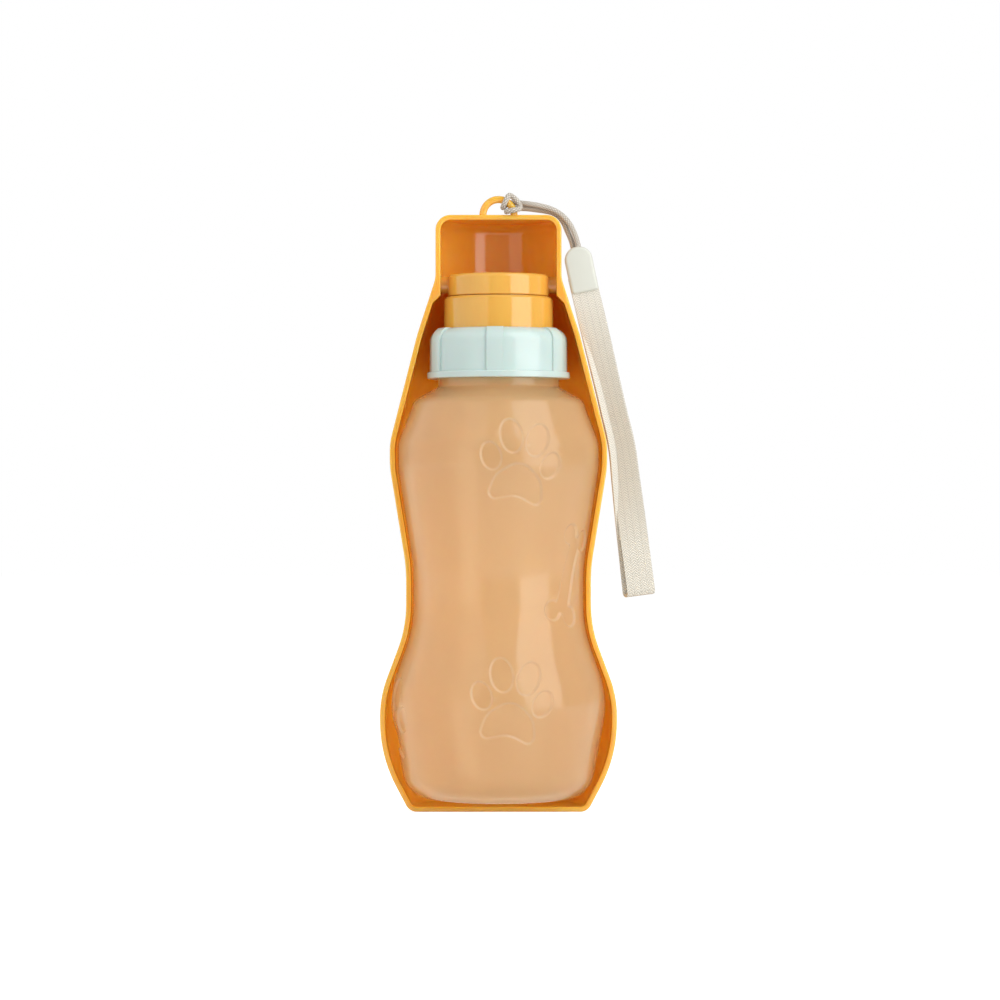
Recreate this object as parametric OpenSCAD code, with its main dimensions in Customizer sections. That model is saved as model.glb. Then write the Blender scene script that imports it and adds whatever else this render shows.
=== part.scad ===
// Dog travel water bottle: a squeeze bottle in a fold-out drinking trough.
// The origin is on the bottle's axis, on the surface that the closed trough stands on.
// +Z is up, -Y faces the open side of the trough, and the trough's hinge runs along X.

/* [Bottle] */
// Gap between the trough's floor and the bottle's foot
foot_gap = 2.5; // [2.4:0.1:4]
// Radius that the bottle's side would meet its bottom at, before rounding
foot_r = 33; // [31:0.5:34]
// Rounding of the foot
foot_round = 10.5; // [8:0.5:12]
// Radius of the belly, the lower bulge
belly_r = 39.9; // [38.5:0.1:41]
// Height of the belly
belly_z = 41.5; // [38:0.5:44]
// Radius of the waist, where a hand holds it
waist_r = 31.1; // [29:0.1:32]
// Height of the slope from the belly in to the waist
belly_slope = 25; // [22:0.5:28]
// Height of the waist
waist_h = 21.5; // [18:0.5:24]
// Radius of the chest, the upper bulge
chest_r = 36.6; // [36:0.1:38]
// Height of the slope from the waist out to the chest
chest_slope = 36; // [34:0.5:38]
// Height of the chest
chest_h = 9; // [7:0.5:10]
// Radius where the shoulder turns in to the neck
shoulder_r = 30.6; // [29:0.2:31]
// Height of the slope from the chest in to that turn
shoulder_slope = 15.4; // [14:0.2:16]
// Outer radius of the neck
neck_r = 22; // [21.6:0.1:22.4]
// Height of the slope from that turn to the neck
neck_slope = 4.8; // [4:0.2:6]
// Height of the neck up to its lip
neck_h = 15.8; // [15:0.2:17]
// Wall of the blown body
bottle_wall = 1.1; // [0.8:0.1:1.4]
// Wall of the neck
neck_wall = 1.8; // [1.5:0.1:2]

/* [Pressed motifs] */
// Depth of the paw prints and bones
motif_deep = 0.6; // [0.3:0.1:0.7]
// How far the upper paw's middle lies below the chest
upper_paw_drop = 6; // [4:0.5:8]
// How far the lower paw's middle lies below the belly
lower_paw_drop = 7.8; // [6:0.2:10]
// How far the side paw's middle lies below the belly
side_paw_drop = 14.5; // [12:0.5:16]
// How far the bone's middle lies below the waist's upper edge
bone_drop = 2.6; // [0:0.2:6]
// Height of a toe
toe_h = 12; // [10:0.5:13]
// Width of a toe
toe_w = 8.2; // [7:0.2:9]
// How much shorter and narrower the outer toes are
toe_less = 0.86; // [0.8:0.02:1]
// Length of a bone between the middles of its knobs
bone_l = 28; // [24:0.5:30]
// Width of a bone's shaft
bone_w = 6; // [5:0.2:8]
// Radius of a bone's knob
knob_r = 3.6; // [3:0.1:4.2]

/* [Trough] */
// Wall of the moulded trough
trough_wall = 1.8; // [1.4:0.1:2.2]
// Gap between trough and bottle at the belly
belly_gap = 1; // [0.8:0.1:2.5]
// Gap between trough and bottle at the waist
waist_gap = 0.4; // [0.3:0.1:1]
// Gap between trough and bottle at the chest
chest_gap = 0.75; // [0.5:0.05:1.5]
// How much narrower the trough's flat underside is than the bottle's foot, at each side
trough_foot_in = 1; // [0:0.2:2]
// Height of the trough's belly below the bottle's
trough_belly_h = 21.5; // [18:0.5:24]
// Depth of the open rim in front of the hinge line
rim_depth = 7.8; // [6:0.2:9]
// Height of the trough's end above the hinge line
dish_h = 24.9; // [23:0.1:27]
// Rounding of the dish's outer corners
dish_round = 5.4; // [4:0.2:7]
// Gap between the swivel head and the hinge ears
ear_gap = 2.5; // [2:0.1:3.5]
// Gap beside the collar
collar_gap = 2.6; // [2:0.1:3.5]
// Outer radius of the hang loop
loop_r = 6.9; // [6:0.1:8]
// Thickness of the hang loop
loop_t = 2.6; // [2:0.1:3]

/* [Collar] */
// Wall of the collar beside the neck
collar_wall = 2.6; // [2.4:0.1:3.2]
// Height of the collar
collar_h = 18.1; // [16:0.1:19]
// Thickness of the collar's top
collar_top_t = 2; // [1.6:0.1:2.4]
// Rounding of the collar's shoulder
collar_round = 4.7; // [3:0.1:4.7]
// Height of the rim round the collar's lower edge
collar_rim_h = 2.4; // [1.8:0.1:3]
// How far that rim stands out
collar_rim_out = 1; // [0.6:0.1:1.4]
// Number of grip ribs
rib_count = 6; // [4:1:10]
// Width of a grip rib
rib_w = 5.9; // [4:0.1:7]
// How far a grip rib stands out
rib_out = 0.7; // [0.4:0.1:1]

/* [Spout cap] */
// How far the clamp flange stands out past the spout base
flange_lap = 2.2; // [1.9:0.1:2.4]
// Wall of the spout base round the swivel head
base_wall = 2.75; // [2.6:0.05:2.9]
// Height of the spout base above the collar's clamp flange
base_h = 13.4; // [12.6:0.1:14]
// Thickness of the clamp flange
flange_t = 2; // [1.6:0.1:2.4]
// Thickness of the gasket on the neck's lip
gasket_t = 1.2; // [1:0.1:1.6]
// How far the plug skirt reaches into the neck
plug_h = 6.2; // [4:0.1:8]
// Wall of the plug skirt
plug_wall = 2; // [1.6:0.1:2.4]
// Height of the ported deck's underside above the clamp flange
deck_rise = 4.3; // [3.5:0.1:4.6]
// Thickness of each ported deck
deck_t = 2; // [1.6:0.1:2.2]
// Thickness of the seal disc between the decks
seal_t = 1; // [0.8:0.1:1.2]
// Diameter of a port
port_d = 9; // [6:0.5:9]
// Rim left between a port and the swivel head's cup
port_edge = 1.1; // [0.9:0.1:1.9]
// Step from the spout base in to the swivel head
head_step = 1.4; // [1:0.1:1.8]
// Height of the swivel head's ring
head_h = 7.8; // [7.2:0.1:9]
// Wall of the swivel head's ring
head_wall = 1.8; // [1.5:0.1:2]
// Wall of the swivel head's skirt
skirt_wall = 2.45; // [2.3:0.05:2.6]
// Radius of the O-ring's section
o_ring_r = 0.75; // [0.7:0.05:0.8]
// Radius of a hinge peg
peg_r = 3; // [2.4:0.1:3.2]
// Height of the hinge pegs above the ring's lower edge
peg_rise = 4.2; // [4:0.1:4.4]

/* [Fits] */
// Radial clearance of a hinge peg in its ear
peg_clear = 0.08; // [0.05:0.01:0.1]
// Radial clearance of the swivel head in the spout base
swivel_clear = 0.2; // [0.15:0.05:0.25]
// Clearance between faces that pass each other
run_clear = 0.3; // [0.25:0.05:0.35]

/* [Lanyard] */
// Width of the webbing
strap_w = 10; // [9:0.2:11]
// Thickness of the webbing
strap_t = 1.1; // [0.8:0.1:1.4]
// Gap between the two layers of the loop
strap_gap = 1; // [0.6:0.1:1.6]
// Length of the webbing beside the trough's slope
strap_upper = 56.8; // [50:0.2:57]
// Length of the webbing below the trough's chest
strap_lower = 53; // [40:1:70]
// Diameter of the cord
cord_d = 1.9; // [1.6:0.1:2]
// Width of the end clip
clip_w = 10; // [9.8:0.1:11]
// Thickness of the end clip
clip_t = 5.2; // [5:0.1:6]
// Length of the end clip
clip_h = 16.8; // [14:0.2:18]
// Wall of the end clip
clip_wall = 0.9; // [0.7:0.1:1]

/* [Hidden] */
$fn = 96;

orange = [0.95, 0.64, 0.19];
cap_orange = [0.93, 0.68, 0.28];
mint = [0.77, 0.88, 0.84];
frosted = [0.9, 0.9, 0.87];
silicone = [0.86, 0.86, 0.84];
clip_grey = [0.86, 0.86, 0.82];
webbing = [0.87, 0.85, 0.8];

// Heights of the bottle's forms, from the belly up
waist_z = belly_z + belly_slope;
chest_z = waist_z + waist_h + chest_slope;
shoulder_z = chest_z + chest_h + shoulder_slope;
neck_z = shoulder_z + neck_slope;
lip_z = neck_z + neck_h;

// The stack of the cap, from the neck's lip up
gasket_top = lip_z + gasket_t;
flange_top = gasket_top + flange_t;
collar_top = flange_top + collar_top_t;
collar_z = collar_top - collar_h;
base_top = flange_top + base_h;
deck_z = flange_top + deck_rise;
deck_top = deck_z + deck_t;
seal_top = deck_top + seal_t;
head_deck_top = seal_top + deck_t;
head_z = base_top + run_clear;
head_top = head_z + head_h;
pivot_z = head_z + peg_rise;
dish_top = pivot_z + dish_h;

// Flat left between the collar's shoulder and its hole
collar_land = 0.1;
// How far a cutting shape runs past what it cuts
over = 1;

// Radii that follow their neighbours
neck_bore = neck_r - neck_wall;
base_r = neck_r - flange_lap;
head_r = base_r - head_step;
collar_bore = neck_r + run_clear;
collar_r = collar_bore + collar_wall;
collar_hole = base_r + run_clear;
collar_corner = min(collar_round, collar_r - collar_hole - collar_land);
plug_r = neck_bore - run_clear;
plug_bore = plug_r - plug_wall;
swivel_bore = base_r - base_wall;
skirt_r = swivel_bore - swivel_clear;
cup_r = skirt_r - skirt_wall;
port_at = cup_r - port_edge - port_d / 2;
ring_bore = head_r - head_wall;
dish_in = head_r + ear_gap;
dish_r = dish_in + trough_wall;
foot_z = trough_wall + foot_gap;

// The snap bead that keeps the head in the base, and the O-ring's groove above it
bead_h = 1;
bead_z = head_deck_top - bead_h;
bead_out = 0.5;
bead_room = 0.1;
groove_depth = 1.9;
ring_room = 0.05;
groove_z = head_z - groove_depth;
groove_half = o_ring_r + ring_room;
o_ring_mid = swivel_bore - ring_room - o_ring_r;

// Seal disc and its two locating pins
seal_room = 0.45;
seal_r = swivel_bore - seal_room;
key_r = 1.5;
key_h = 0.6;
key_clear = 0.1;

// Ear pads that thicken the trough round the pegs
pad_below = 4.1;
pad_above = 4;
pad_slope = 2;
pad_back = 8;
peg_end_gap = 0.3;

// Hang loop, just behind the rim
loop_mid_r = loop_r - loop_t / 2;
loop_sink = 0.6;
loop_y = -rim_depth + run_clear + loop_t / 2;

// Recess in the trough's floor over the moulding gate
gate_w = 21;
gate_l = 14;
gate_deep = 0.5;

// Roundings of edges
neck_round = 1;
inner_round = 1;
edge_round = 0.5;
base_chamfer = 0.8;
head_round = 1.4;
trough_foot_round = 4.3;

// A path is a list of [x, z, radius] corners. These functions round and inset it.
arc_step = 9;
function to_2d(p) = [p[0], p[1]];
function unit(v) = v / norm(v);
function left_of(v) = [-v[1], v[0]];
function turn_of(u, v) = u[0] * v[1] - u[1] * v[0];
function turned(v, a) = [v[0] * cos(a) - v[1] * sin(a), v[0] * sin(a) + v[1] * cos(a)];
function corner_arc(a, b, c) =
    let (u = unit(to_2d(b) - to_2d(a)),
        v = unit(to_2d(c) - to_2d(b)),
        bend = acos(max(-1, min(1, u * v))),
        side = turn_of(u, v) > 0 ? 1 : -1,
        start = to_2d(b) - u * b[2] * tan(bend / 2),
        mid = start + left_of(u) * b[2] * side,
        steps = ceil(bend / arc_step))
    b[2] > 0 && bend > 0.1
        ? [for (i = [0:steps]) mid + turned(start - mid, side * bend * i / steps)]
        : [to_2d(b)];
function rounded(path) = [for (i = [0:len(path) - 1])
    each i == 0 || i == len(path) - 1 ? [to_2d(path[i])] : corner_arc(path[i - 1], path[i], path[i + 1])];
function rounded_loop(path) = let (n = len(path)) [for (i = [0:n - 1])
    each corner_arc(path[(i + n - 1) % n], path[i], path[(i + 1) % n])];
function but_last(path) = [for (i = [0:len(path) - 2]) path[i]];
function edge(path, i) = unit(to_2d(path[i + 1]) - to_2d(path[i]));
function inset_corner(path, i, d) =
    let (u = edge(path, i - 1), v = edge(path, i), shift = (left_of(u) + left_of(v)) / (1 + u * v))
    concat(to_2d(path[i]) + d * shift, [max(0, path[i][2] - d * (turn_of(u, v) > 0 ? 1 : -1))]);
function inset(path, d) = [for (i = [0:len(path) - 1])
    i == 0 ? concat(to_2d(path[0]) + d * left_of(edge(path, 0)), [0])
        : i == len(path) - 1 ? concat(to_2d(path[i]) + d * left_of(edge(path, i - 1)), [0])
        : inset_corner(path, i, d)];

// Outside of the bottle from the middle of its foot to the root of its neck
bottle_side = [
    [0, foot_z, 0],
    [foot_r, foot_z, foot_round],
    [belly_r, belly_z, 35],
    [waist_r, waist_z, 45],
    [waist_r, waist_z + waist_h, 60],
    [chest_r, chest_z, 30],
    [chest_r, chest_z + chest_h, 14],
    [shoulder_r, shoulder_z, 5],
    [neck_r, neck_z, 0]
];

// A paw's pad as a closed loop of [x, z, radius] corners from its middle, and its right toes as
// [x, z, lean, share of the toe's size]
pad_loop = [[0, 8.9, 6.5], [-8.6, 2.2, 7], [-10.6, -7.6, 2.4], [0, -3.9, 9], [10.6, -7.6, 2.4], [8.6, 2.2, 7]];
toes = [[4.9, 16.4, 15, 1], [11.2, 8.3, 25, toe_less]];
knob_out = 4.5;

// Paws and bones as [turn from the front, height, lean], a set on the front and one on the back
paws = [[11.1, chest_z - upper_paw_drop, 9], [5.8, belly_z - lower_paw_drop, 8]];
bones = [[53.5, waist_z + waist_h - bone_drop, 15.4]];
side_paw = [-83, belly_z - side_paw_drop, 8];

// Outside of the trough from the middle of its floor to the middle of its end
trough_foot_r = foot_r - trough_foot_in;
belly_out = belly_r + belly_gap + trough_wall;
waist_out = waist_r + waist_gap + trough_wall;
chest_out = chest_r + chest_gap + trough_wall;
trough_side = [
    [0, 0, 0],
    [trough_foot_r, 0, trough_foot_round],
    [belly_out, belly_z - trough_belly_h, 50],
    [belly_out, belly_z, 40],
    [waist_out, waist_z, 45],
    [waist_out, waist_z + waist_h, 60],
    [chest_out, chest_z, 40],
    [chest_out, chest_z + chest_h, 25],
    [collar_r + collar_gap + trough_wall, collar_top - collar_round / 2, 60],
    [dish_r, pivot_z + 2, 12],
    [dish_r, dish_top, dish_round],
    [0, dish_top, 0]
];

// The webbing hangs from the clip, leans on the trough's chest and hangs on below it
clip_tilt = 12;
clip_out = 5.2;
clip_drop = 11.4;
clip_y = -4.6;
clip_top = [dish_r + clip_out, clip_y, dish_top - clip_drop];
clip_base = clip_top + clip_h * [sin(clip_tilt), 0, -cos(clip_tilt)];
upper_tilt = 13.4;
lower_tilt = 7.5;
strap_knee = [clip_base[0] + strap_upper * sin(upper_tilt), clip_base[2] - strap_upper * cos(upper_tilt)];
strap_end = [strap_knee[0] + strap_lower * sin(lower_tilt), strap_knee[1] - strap_lower * cos(lower_tilt)];
fold_r = strap_gap / 2 + strap_t;
strap_drop = 0.3;
cord_end_deep = 2;
cord_spread = 0.9;
cord_room = 0.1;

// Slot in the clip for the narrowed end of the webbing
slot_w = clip_w - 2 * clip_wall;
slot_room = 0.4;
slot_t = 2 * fold_r + slot_room;
slot_h = 8;
tongue_w = slot_w - slot_room;
tongue_end_gap = 0.5;

// Route of the cord from the middle of the hang loop: out of the clip, over the trough's corner,
// twice round the loop as a cow hitch, and back beside itself
cord_points = [
    [29.2, 0.7, -13.2], [28.4, 0.7, -9.6], [27.3, 0.7, -6.4], [25.8, 0.7, -3.4], [23.8, 0.7, -0.9],
    [21.3, 0.7, 1.1], [18.3, 0.7, 2.5], [15, 0.8, 3.4], [11.8, 1.1, 4], [9, 1.8, 4.4], [6.4, 2.4, 4.6],
    [3.7, 2.5, 4.6], [2.1, 1.7, 3.2], [1.6, 0, 2.7], [1.9, -1.8, 3.4], [2.6, -2.5, 4.9],
    [3.4, -1.8, 6.5], [4.3, -0.3, 7], [6.4, -0.4, 5.4], [7.7, -0.3, 3.3], [7.4, -1.6, 2.1],
    [5.5, -2.6, 1.6], [3.7, -1.8, 1.3], [2.9, 0, 1.2], [3.5, 1.8, 1.6], [5.1, 2.5, 2.5],
    [7.6, 2.7, 2.6], [10.6, 2.8, 2.5], [13.8, 2.7, 2.1], [16.6, 2.7, 1.7], [19.2, 2.6, 1.1],
    [21.7, 2.6, -0.3], [23.5, 2.5, -2.6], [24.8, 2.5, -5.5], [25.9, 2.5, -8], [26.6, 2.5, -10], [27.4, 2.5, -13.5]
];
cord_sides = 8;

module revolved(path) {
    rotate_extrude() polygon(rounded(path));
}

// Fills a half of the path's revolve behind the hinge line, and the same outline forward of it
module trough_form(path, front) {
    side = rounded(path);
    last = len(side) - 1;
    right = [for (i = [1:last - 1]) side[i]];
    left = [for (i = [last - 1:-1:1]) [-side[i][0], side[i][1]]];
    rotate_extrude(angle = 180) polygon(side);
    rotate([90, 0, 0])
        linear_extrude(front) polygon(concat(right, left));
}

module paw() {
    polygon(rounded_loop(pad_loop));
    for (side = [0, 1], toe = toes)
        mirror([side, 0])
            translate([toe[0], toe[1]])
                rotate(-toe[2])
                    scale([toe_w * toe[3], toe_h * toe[3]])
                        circle(d = 1, $fn = 24);
}

module bone() {
    square([bone_w, bone_l], center = true);
    for (x = [-knob_out, knob_out], z = [-bone_l / 2, bone_l / 2])
        translate([x, z])
            circle(r = knob_r, $fn = 24);
}

// Puts a motif, drawn as x and z, through the bottle's side at its place
module at_place(place) {
    rotate([0, 0, place[0]])
        translate([0, 0, place[1]])
            plate(-belly_r - over, belly_r + over - waist_r / 2)
                rotate(-place[2])
                    children();
}

// All motifs, as deep into the bottle's side as they are pressed
module motifs() {
    floor_side = concat(inset(bottle_side, motif_deep), [[0, neck_z, 0]]);
    difference() {
        union() {
            for (back = [0, 180])
                rotate([0, 0, back]) {
                    for (place = paws)
                        at_place(place) paw();
                    for (place = bones)
                        at_place(place) bone();
                }
            at_place(side_paw) paw();
        }
        revolved(floor_side);
    }
}

module bottle() {
    outside = concat(but_last(bottle_side), [[neck_r, neck_z, neck_round]]);
    hollow = but_last(inset(bottle_side, bottle_wall));
    inner = concat(hollow, [[neck_bore, neck_z - bottle_wall, neck_round]]);
    color(frosted)
        difference() {
            revolved(concat(outside, [[neck_r, lip_z, 0], [0, lip_z, 0]]));
            revolved(concat(inner, [[neck_bore, lip_z + over, 0], [0, lip_z + over, 0]]));
            motifs();
        }
}

module collar() {
    rim_top = collar_z + collar_rim_h;
    rib_step = 360 / rib_count;
    rib_first = -93;
    rib_root = 0.5;
    rib_inset = 0.05;
    color(mint) {
        revolved([
            [collar_bore, collar_z, 0],
            [collar_r + collar_rim_out, collar_z, edge_round],
            [collar_r + collar_rim_out, rim_top, edge_round],
            [collar_r, rim_top, edge_round / 2],
            [collar_r, collar_top, collar_corner],
            [collar_hole, collar_top, 0],
            [collar_hole, flange_top, 0],
            [collar_bore, flange_top, 0]
        ]);
        intersection() {
            difference() {
                revolved([
                    [collar_hole + rib_inset, rim_top - rib_root, 0],
                    [collar_r + rib_out, rim_top - rib_root, 0],
                    [collar_r + rib_out, collar_top + rib_out, collar_corner + rib_out],
                    [collar_hole + rib_inset, collar_top + rib_out, 0]
                ]);
                cylinder(r = collar_bore + rib_root, h = flange_top + rib_root);
            }
            for (i = [0:rib_count - 1])
                rotate([0, 0, rib_step * i + rib_first])
                    translate([0, -rib_w / 2, collar_z])
                        cube([2 * collar_r, rib_w, collar_h]);
        }
    }
}

module neck_gasket() {
    color(silicone)
        translate([0, 0, lip_z])
            difference() {
                cylinder(r = neck_r, h = gasket_t);
                translate([0, 0, -over])
                    cylinder(r = neck_bore, h = gasket_t + 2 * over);
            }
}

// Two ports on opposite sides, turned about the axis
module ports(z, h, turn) {
    for (side = [0, 180])
        rotate([0, 0, turn + side])
            translate([port_at, 0, z - over])
                cylinder(d = port_d, h = h + 2 * over);
}

// Two locating pins between the ports
module keys(r, h) {
    for (side = [90, 270])
        rotate([0, 0, side])
            translate([port_at, 0, deck_top])
                cylinder(r = r, h = h);
}

module spout_base() {
    color(cap_orange) {
        difference() {
            revolved([
                [0, deck_z, 0],
                [plug_bore, deck_z, inner_round],
                [plug_bore, gasket_top - plug_h, edge_round],
                [plug_r, gasket_top - plug_h, edge_round],
                [plug_r, gasket_top, 0],
                [neck_r, gasket_top, 0],
                [neck_r, flange_top, 0],
                [base_r, flange_top, 0],
                [base_r, base_top - base_chamfer, 0],
                [base_r - base_chamfer, base_top, 0],
                [swivel_bore, base_top, 0],
                [swivel_bore, bead_z + bead_h + run_clear, 0],
                [swivel_bore + bead_out + bead_room, bead_z + bead_h, 0],
                [swivel_bore + bead_out + bead_room, bead_z, 0],
                [swivel_bore, bead_z - run_clear, 0],
                [swivel_bore, deck_top, 0],
                [0, deck_top, 0]
            ]);
            ports(deck_z, deck_t, 0);
        }
        keys(key_r, key_h);
    }
}

module valve_seal() {
    color(silicone)
        difference() {
            translate([0, 0, deck_top])
                cylinder(r = seal_r, h = seal_t);
            ports(deck_top, seal_t, 0);
            translate([0, 0, -over])
                keys(key_r + key_clear, seal_t + 2 * over);
        }
}

module head_o_ring() {
    color(silicone)
        translate([0, 0, groove_z])
            rotate_extrude()
                translate([o_ring_mid, 0])
                    circle(r = o_ring_r, $fn = 32);
}

module swivel_head() {
    groove_r = o_ring_mid - o_ring_r;
    peg_root = 0.4;
    color(cap_orange) {
        difference() {
            revolved([
                [0, seal_top, 0],
                [skirt_r, seal_top, edge_round],
                [skirt_r, bead_z, 0],
                [skirt_r + bead_out, bead_z + run_clear, 0],
                [skirt_r + bead_out, bead_z + bead_h - run_clear, 0],
                [skirt_r, bead_z + bead_h, 0],
                [skirt_r, groove_z - groove_half, 0],
                [groove_r, groove_z - groove_half, 0],
                [groove_r, groove_z + groove_half, 0],
                [skirt_r, groove_z + groove_half, 0],
                [skirt_r, head_z, 0],
                [head_r, head_z, edge_round],
                [head_r, head_top, head_round],
                [ring_bore, head_top, edge_round / 2],
                [ring_bore, head_z + head_wall, inner_round],
                [cup_r, head_z, inner_round],
                [cup_r, head_deck_top, inner_round],
                [0, head_deck_top, 0]
            ]);
            ports(seal_top, deck_t, 90);
        }
        for (side = [0, 180])
            rotate([0, 0, side])
                translate([ring_bore + peg_root, 0, pivot_z])
                    rotate([0, 90, 0])
                        cylinder(r = peg_r, h = dish_r - peg_end_gap - ring_bore - peg_root);
    }
}

// Thickening of both side walls round the pegs, as deep as the block y0 to y1
module ear_pads() {
    far = dish_r + trough_wall + pad_slope;
    outline = [
        [dish_in, pivot_z + pad_above],
        [dish_in, pivot_z - pad_below],
        [dish_in + pad_slope, pivot_z - pad_below - pad_slope],
        [far, pivot_z - pad_below - pad_slope],
        [far, pivot_z + pad_above]
    ];
    for (side = [0, 1])
        mirror([side, 0, 0])
            translate([0, pad_back, 0])
                rotate([90, 0, 0])
                    linear_extrude(pad_back + rim_depth) polygon(outline);
}

module hang_loop() {
    translate([0, loop_y, dish_top])
        rotate([90, 0, 0])
            rotate_extrude(angle = 180)
                translate([loop_mid_r, 0])
                    circle(d = loop_t, $fn = 32);
    for (side = [-1, 1])
        translate([side * loop_mid_r, loop_y, dish_top - loop_sink])
            cylinder(d = loop_t, h = loop_sink, $fn = 32);
}

module trough() {
    color(orange) {
        difference() {
            trough_form(trough_side, rim_depth);
            difference() {
                trough_form(inset(trough_side, trough_wall), rim_depth + over);
                ear_pads();
            }
            for (side = [0, 180])
                rotate([0, 0, side])
                    translate([dish_r, 0, pivot_z])
                        rotate([0, 90, 0])
                            cylinder(r = peg_r + peg_clear, h = 4 * trough_wall, center = true);
            translate([-gate_w / 2, 0, trough_wall - gate_deep])
                cube([gate_w, gate_l, over]);
        }
        hang_loop();
    }
}

// Points of the smooth cord between two of its route's points
function spline(a, b, c, d, t) =
    0.5 * (2 * b + (c - a) * t + (2 * a - 5 * b + 4 * c - d) * t * t + (3 * b - a - 3 * c + d) * t * t * t);
function smooth(p) = let (n = len(p) - 1)
    concat([for (i = [0:n - 1], t = [0, 0.5])
        spline(p[max(i - 1, 0)], p[i], p[i + 1], p[min(i + 2, n)], t)], [p[n]]);
function along(p, i) = unit(p[min(i + 1, len(p) - 1)] - p[max(i - 1, 0)]);
// The side direction is carried from ring to ring, so that the tube doesn't twist
function next_side(side, dir) = unit(side - dir * (side * dir));
function sides(p, i, side) = i == len(p) ? [] :
    let (now = next_side(side, along(p, i))) concat([now], sides(p, i + 1, now));

module tube(p, d) {
    n = len(p);
    m = cord_sides;
    side = sides(p, 0, [0, 1, 0]);
    rings = [for (i = [0:n - 1], k = [0:m - 1])
        p[i] + d / 2 * (side[i] * cos(360 * k / m) + cross(along(p, i), side[i]) * sin(360 * k / m))];
    wall = [for (i = [0:n - 2], k = [0:m - 1])
        let (a = i * m + k, b = i * m + (k + 1) % m)
        each [[a, b + m, b], [a, a + m, b + m]]];
    caps = [[for (k = [0:m - 1]) k], [for (k = [m - 1:-1:0]) (n - 1) * m + k]];
    polyhedron(rings, concat(wall, caps));
}

module lanyard_cord() {
    color(webbing)
        translate([0, loop_y, dish_top])
            tube(smooth(cord_points), cord_d);
}

// Puts what is drawn hanging down the z axis at the clip's place and tilt
module at_clip() {
    translate(clip_top)
        rotate([0, -clip_tilt, 0])
            children();
}

// A plate from y0 to y0 + t with its outline drawn as x and z
module plate(y0, t) {
    translate([0, y0 + t, 0])
        rotate([90, 0, 0])
            linear_extrude(t)
                children();
}

module cord_clip() {
    round_r = clip_w / 2;
    edge_flat = 0.3;
    edge_r = clip_t / 2 - edge_flat;
    side_view = [
        [-clip_t / 2, -clip_h, 0],
        [clip_t / 2, -clip_h, 0],
        [clip_t / 2, 0, edge_r],
        [-clip_t / 2, 0, edge_r],
        [-clip_t / 2, -clip_h, 0]
    ];
    color(clip_grey)
        at_clip()
            difference() {
                intersection() {
                    plate(-clip_t / 2, clip_t)
                        union() {
                            translate([-clip_w / 2, -clip_h])
                                square([clip_w, clip_h - round_r]);
                            translate([0, -round_r])
                                circle(r = round_r);
                        }
                    translate([-clip_w / 2, 0, 0])
                        rotate([90, 0, 90])
                            linear_extrude(clip_w) polygon(rounded(side_view));
                }
                for (side = [-1, 1])
                    translate([-side * cord_spread, side * cord_spread, -cord_end_deep - cord_room])
                        cylinder(d = cord_d + cord_room, h = clip_h, $fn = 32);
                translate([-slot_w / 2, -slot_t / 2, -clip_h - over])
                    cube([slot_w, slot_t, slot_h + over]);
            }
}

// A strip of width w along a path of [x, z] points, with mitred corners
module strip(points, w) {
    n = len(points);
    heading = [for (i = [0:n - 2]) unit(points[i + 1] - points[i])];
    across = [for (i = [0:n - 1])
        let (u = left_of(heading[max(i - 1, 0)]), v = left_of(heading[min(i, n - 2)]))
        (u + v) / (1 + u * v) * w / 2];
    polygon(concat([for (i = [0:n - 1]) points[i] + across[i]], [for (i = [n - 1:-1:0]) points[i] - across[i]]));
}

module wrist_strap() {
    start = [clip_base[0], clip_base[2]] + strap_drop * [sin(upper_tilt), -cos(upper_tilt)];
    color(webbing) {
        for (y = [-fold_r, fold_r - strap_t])
            plate(clip_base[1] + y, strap_t)
                strip([start, strap_knee, strap_end], strap_w);
        translate([strap_end[0], clip_base[1], strap_end[1]])
            rotate([0, 90 - lower_tilt, 0])
                difference() {
                    cylinder(r = fold_r, h = strap_w, center = true);
                    cylinder(r = strap_gap / 2, h = strap_w + 2 * over, center = true);
                    translate([-3 * fold_r, -2 * fold_r, -strap_w])
                        cube([3 * fold_r, 4 * fold_r, 2 * strap_w]);
                }
        at_clip()
            translate([-tongue_w / 2, -fold_r, -clip_h - 2 * strap_drop])
                cube([tongue_w, 2 * fold_r, slot_h + 2 * strap_drop - tongue_end_gap]);
    }
}

bottle();
collar();
neck_gasket();
spout_base();
valve_seal();
head_o_ring();
swivel_head();
trough();
lanyard_cord();
cord_clip();
wrist_strap();
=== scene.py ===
# Dog travel water bottle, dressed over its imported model.
# Lists and dictionaries are in millimetres and degrees, meshes are in metres.
import math
import bmesh
import bpy
import numpy as np
from mathutils import Matrix, Vector


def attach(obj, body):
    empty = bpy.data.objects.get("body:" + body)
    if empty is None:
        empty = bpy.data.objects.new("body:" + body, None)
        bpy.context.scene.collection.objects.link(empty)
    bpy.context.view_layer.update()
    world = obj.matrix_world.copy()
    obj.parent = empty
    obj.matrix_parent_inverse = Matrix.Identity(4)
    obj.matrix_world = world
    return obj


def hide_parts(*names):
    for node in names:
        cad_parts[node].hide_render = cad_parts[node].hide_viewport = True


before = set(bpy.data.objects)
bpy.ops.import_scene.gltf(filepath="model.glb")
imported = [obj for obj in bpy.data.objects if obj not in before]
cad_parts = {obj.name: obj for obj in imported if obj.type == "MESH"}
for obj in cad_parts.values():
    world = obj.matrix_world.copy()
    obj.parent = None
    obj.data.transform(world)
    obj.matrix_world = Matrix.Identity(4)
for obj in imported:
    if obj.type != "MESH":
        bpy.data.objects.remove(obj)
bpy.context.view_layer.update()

mm = 0.001
print("packed model loaded:", len(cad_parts), "nodes")

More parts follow.
